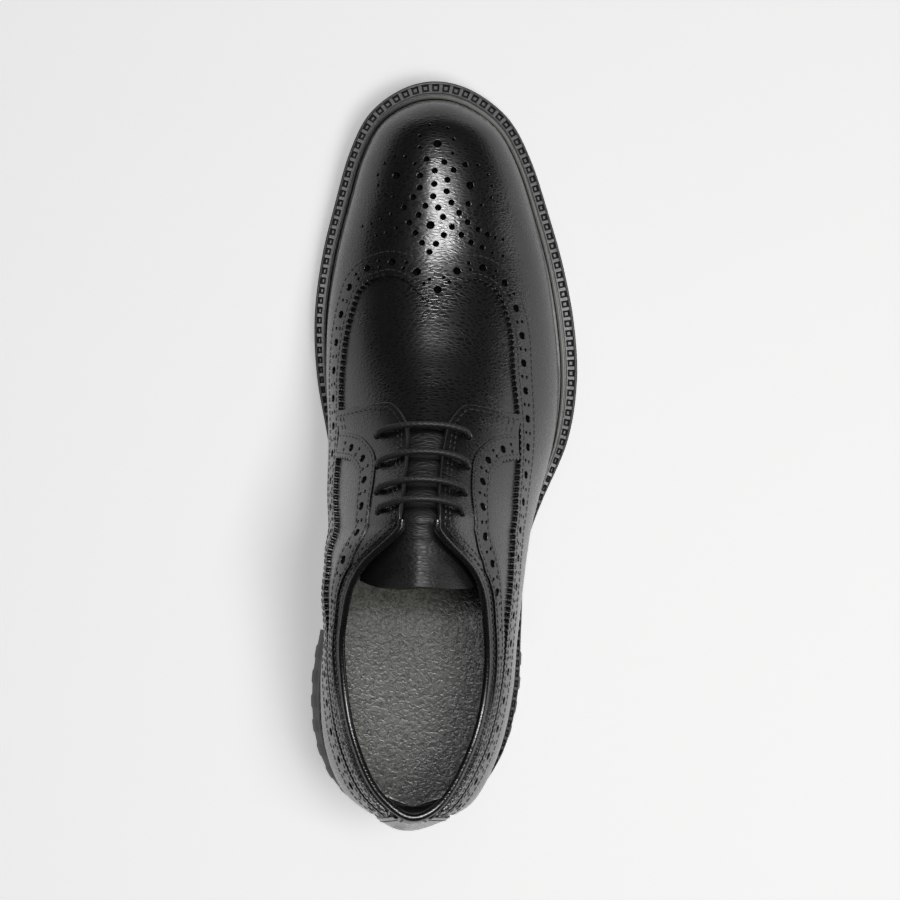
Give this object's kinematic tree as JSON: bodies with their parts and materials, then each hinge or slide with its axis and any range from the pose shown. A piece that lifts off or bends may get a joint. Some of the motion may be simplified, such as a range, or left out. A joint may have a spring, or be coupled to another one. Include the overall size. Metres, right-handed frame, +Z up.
{
  "type": "brogue derby shoe",
  "caption": "Right-foot long-wing brogue derby: hollow leather upper with open lacing over a tongue, notched welt, rubber sole and flared heel.",
  "frame": {"origin": "centre of the shoe's box, on the floor that heel and ball stand on", "axes": "+Y from heel to toe, +X to the outer (lateral) side of the right foot, +Z up"},
  "size_m": [0.109, 0.3026, 0.1033],
  "materials": {
    "upper_leather": "black pebble-grain leather, polished",
    "insole_leather": "black smooth-grain lining leather, glossy",
    "welt_leather": "black notched welt, satin",
    "sole_rubber": "black moulded rubber, satin",
    "lace_cotton": "black waxed round cord"
  },
  "bodies": {
    "root": {"outsole": "sole_rubber", "heel": "sole_rubber", "welt": "welt_leather", "insole": "insole_leather", "upper": "upper_leather", "tongue": "upper_leather", "wing": "upper_leather", "facing_medial": "upper_leather", "facing_lateral": "upper_leather", "back_strap": "upper_leather", "collar_binding": "upper_leather", "lace_bar_1": "lace_cotton", "lace_bar_2": "lace_cotton", "lace_bar_3": "lace_cotton", "lace_bar_4": "lace_cotton"}
  },
  "joints": []
}
